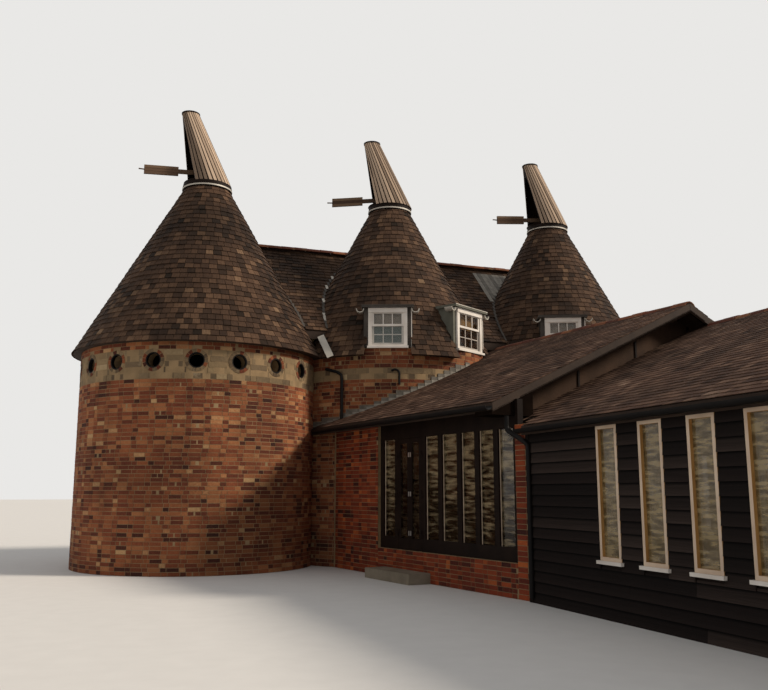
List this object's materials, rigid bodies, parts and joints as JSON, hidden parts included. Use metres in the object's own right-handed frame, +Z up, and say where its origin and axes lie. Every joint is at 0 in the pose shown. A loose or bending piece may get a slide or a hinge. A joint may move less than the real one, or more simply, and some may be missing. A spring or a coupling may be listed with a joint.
{
  "type": "oast house",
  "caption": "Oast house with three round kilns and turning cowls, a tiled stowage roof behind, a glazed wing and a boarded range.",
  "frame": {"origin": "on the lowest ground, at the foot of the middle kiln's upright axis", "axes": "+X along the row of kilns to the right of a viewer at the front, +Y away from the front, +Z up"},
  "size_m": [14.969, 18.3, 9.93],
  "materials": {
    "brick": "rough hand-made brick and ragstone",
    "roof_tile": "weathered clay tile",
    "weatherboard": "black stained boards",
    "dark_timber": "dark stained",
    "cowl_boards": "silvered bare boards",
    "painted_timber": "painted",
    "window_glass": "clear",
    "lead": "weathered lead sheet",
    "iron": "painted black",
    "stone": "rough stone"
  },
  "bodies": {
    "building": {"bargeboards": "dark_timber", "brick_panel": "brick", "corner_pier": "brick", "cowl_spindles": "dark_timber", "doorstep": "stone", "dormer_a_casing": "lead", "dormer_b_casing": "lead", "dormer_c_casing": "lead", "dormer_upstands": "brick", "dormer_window_frames": "painted_timber", "downpipes": "iron", "glazed_frame": "dark_timber", "glazed_frame_glass": "window_glass", "glazing_plinth": "brick", "gutters": "iron", "kiln_1_roof": "roof_tile", "kiln_1_vent_band": "brick", "kiln_1_vent_rings": "iron", "kiln_1_wall": "brick", "kiln_2_roof": "roof_tile", "kiln_2_wall": "brick", "kiln_3_roof": "roof_tile", "kiln_3_wall": "brick", "kiln_curbs": "lead", "kiln_ground_floors": "brick", "kiln_upper_floors": "dark_timber", "overflow_pipe": "iron", "range_east_wall": "weatherboard", "range_roof_east": "roof_tile", "range_roof_west": "roof_tile", "range_south_wall": "weatherboard", "range_west_wall": "weatherboard", "range_window_frames": "painted_timber", "ridge_tiles": "roof_tile", "stowage_gables": "brick", "stowage_link_walls": "brick", "stowage_rear_wall": "brick", "stowage_roof_front": "roof_tile", "stowage_roof_rear": "roof_tile", "stowage_window_frames": "painted_timber", "window_glass": "window_glass", "wing_east_wall": "brick", "wing_floors": "stone", "wing_gable": "weatherboard", "wing_roof_east": "roof_tile", "wing_roof_west": "roof_tile"},
    "cowl_head_1": {"cowl_1": "cowl_boards", "vane_1": "cowl_boards"},
    "cowl_head_2": {"cowl_2": "cowl_boards", "vane_2": "cowl_boards"},
    "cowl_head_3": {"cowl_3": "cowl_boards", "vane_3": "cowl_boards"},
    "right_door": {"door_right": "dark_timber", "door_right_glass": "window_glass"},
    "left_door": {"door_left": "dark_timber", "door_left_glass": "window_glass"}
  },
  "joints": [
    {"name": "cowl_1_turn", "type": "hinge", "parent": "building", "child": "cowl_head_1", "pos_m": [-4.32, 0, 8.92], "axis": [0, 0, 1], "continuous": true},
    {"name": "cowl_2_turn", "type": "hinge", "parent": "building", "child": "cowl_head_2", "pos_m": [0, 0, 8.92], "axis": [0, 0, 1], "continuous": true},
    {"name": "cowl_3_turn", "type": "hinge", "parent": "building", "child": "cowl_head_3", "pos_m": [4.32, 0, 8.92], "axis": [0, 0, 1], "continuous": true},
    {"name": "right_door_swing", "type": "hinge", "parent": "building", "child": "right_door", "pos_m": [-1.2091, -4.64832, 1.45], "axis": [0, 0, 1], "range_deg": [0, 100]},
    {"name": "left_door_swing", "type": "hinge", "parent": "building", "child": "left_door", "pos_m": [-1.32996, -3.86762, 1.45], "axis": [0, 0, -1], "range_deg": [0, 100]}
  ]
}
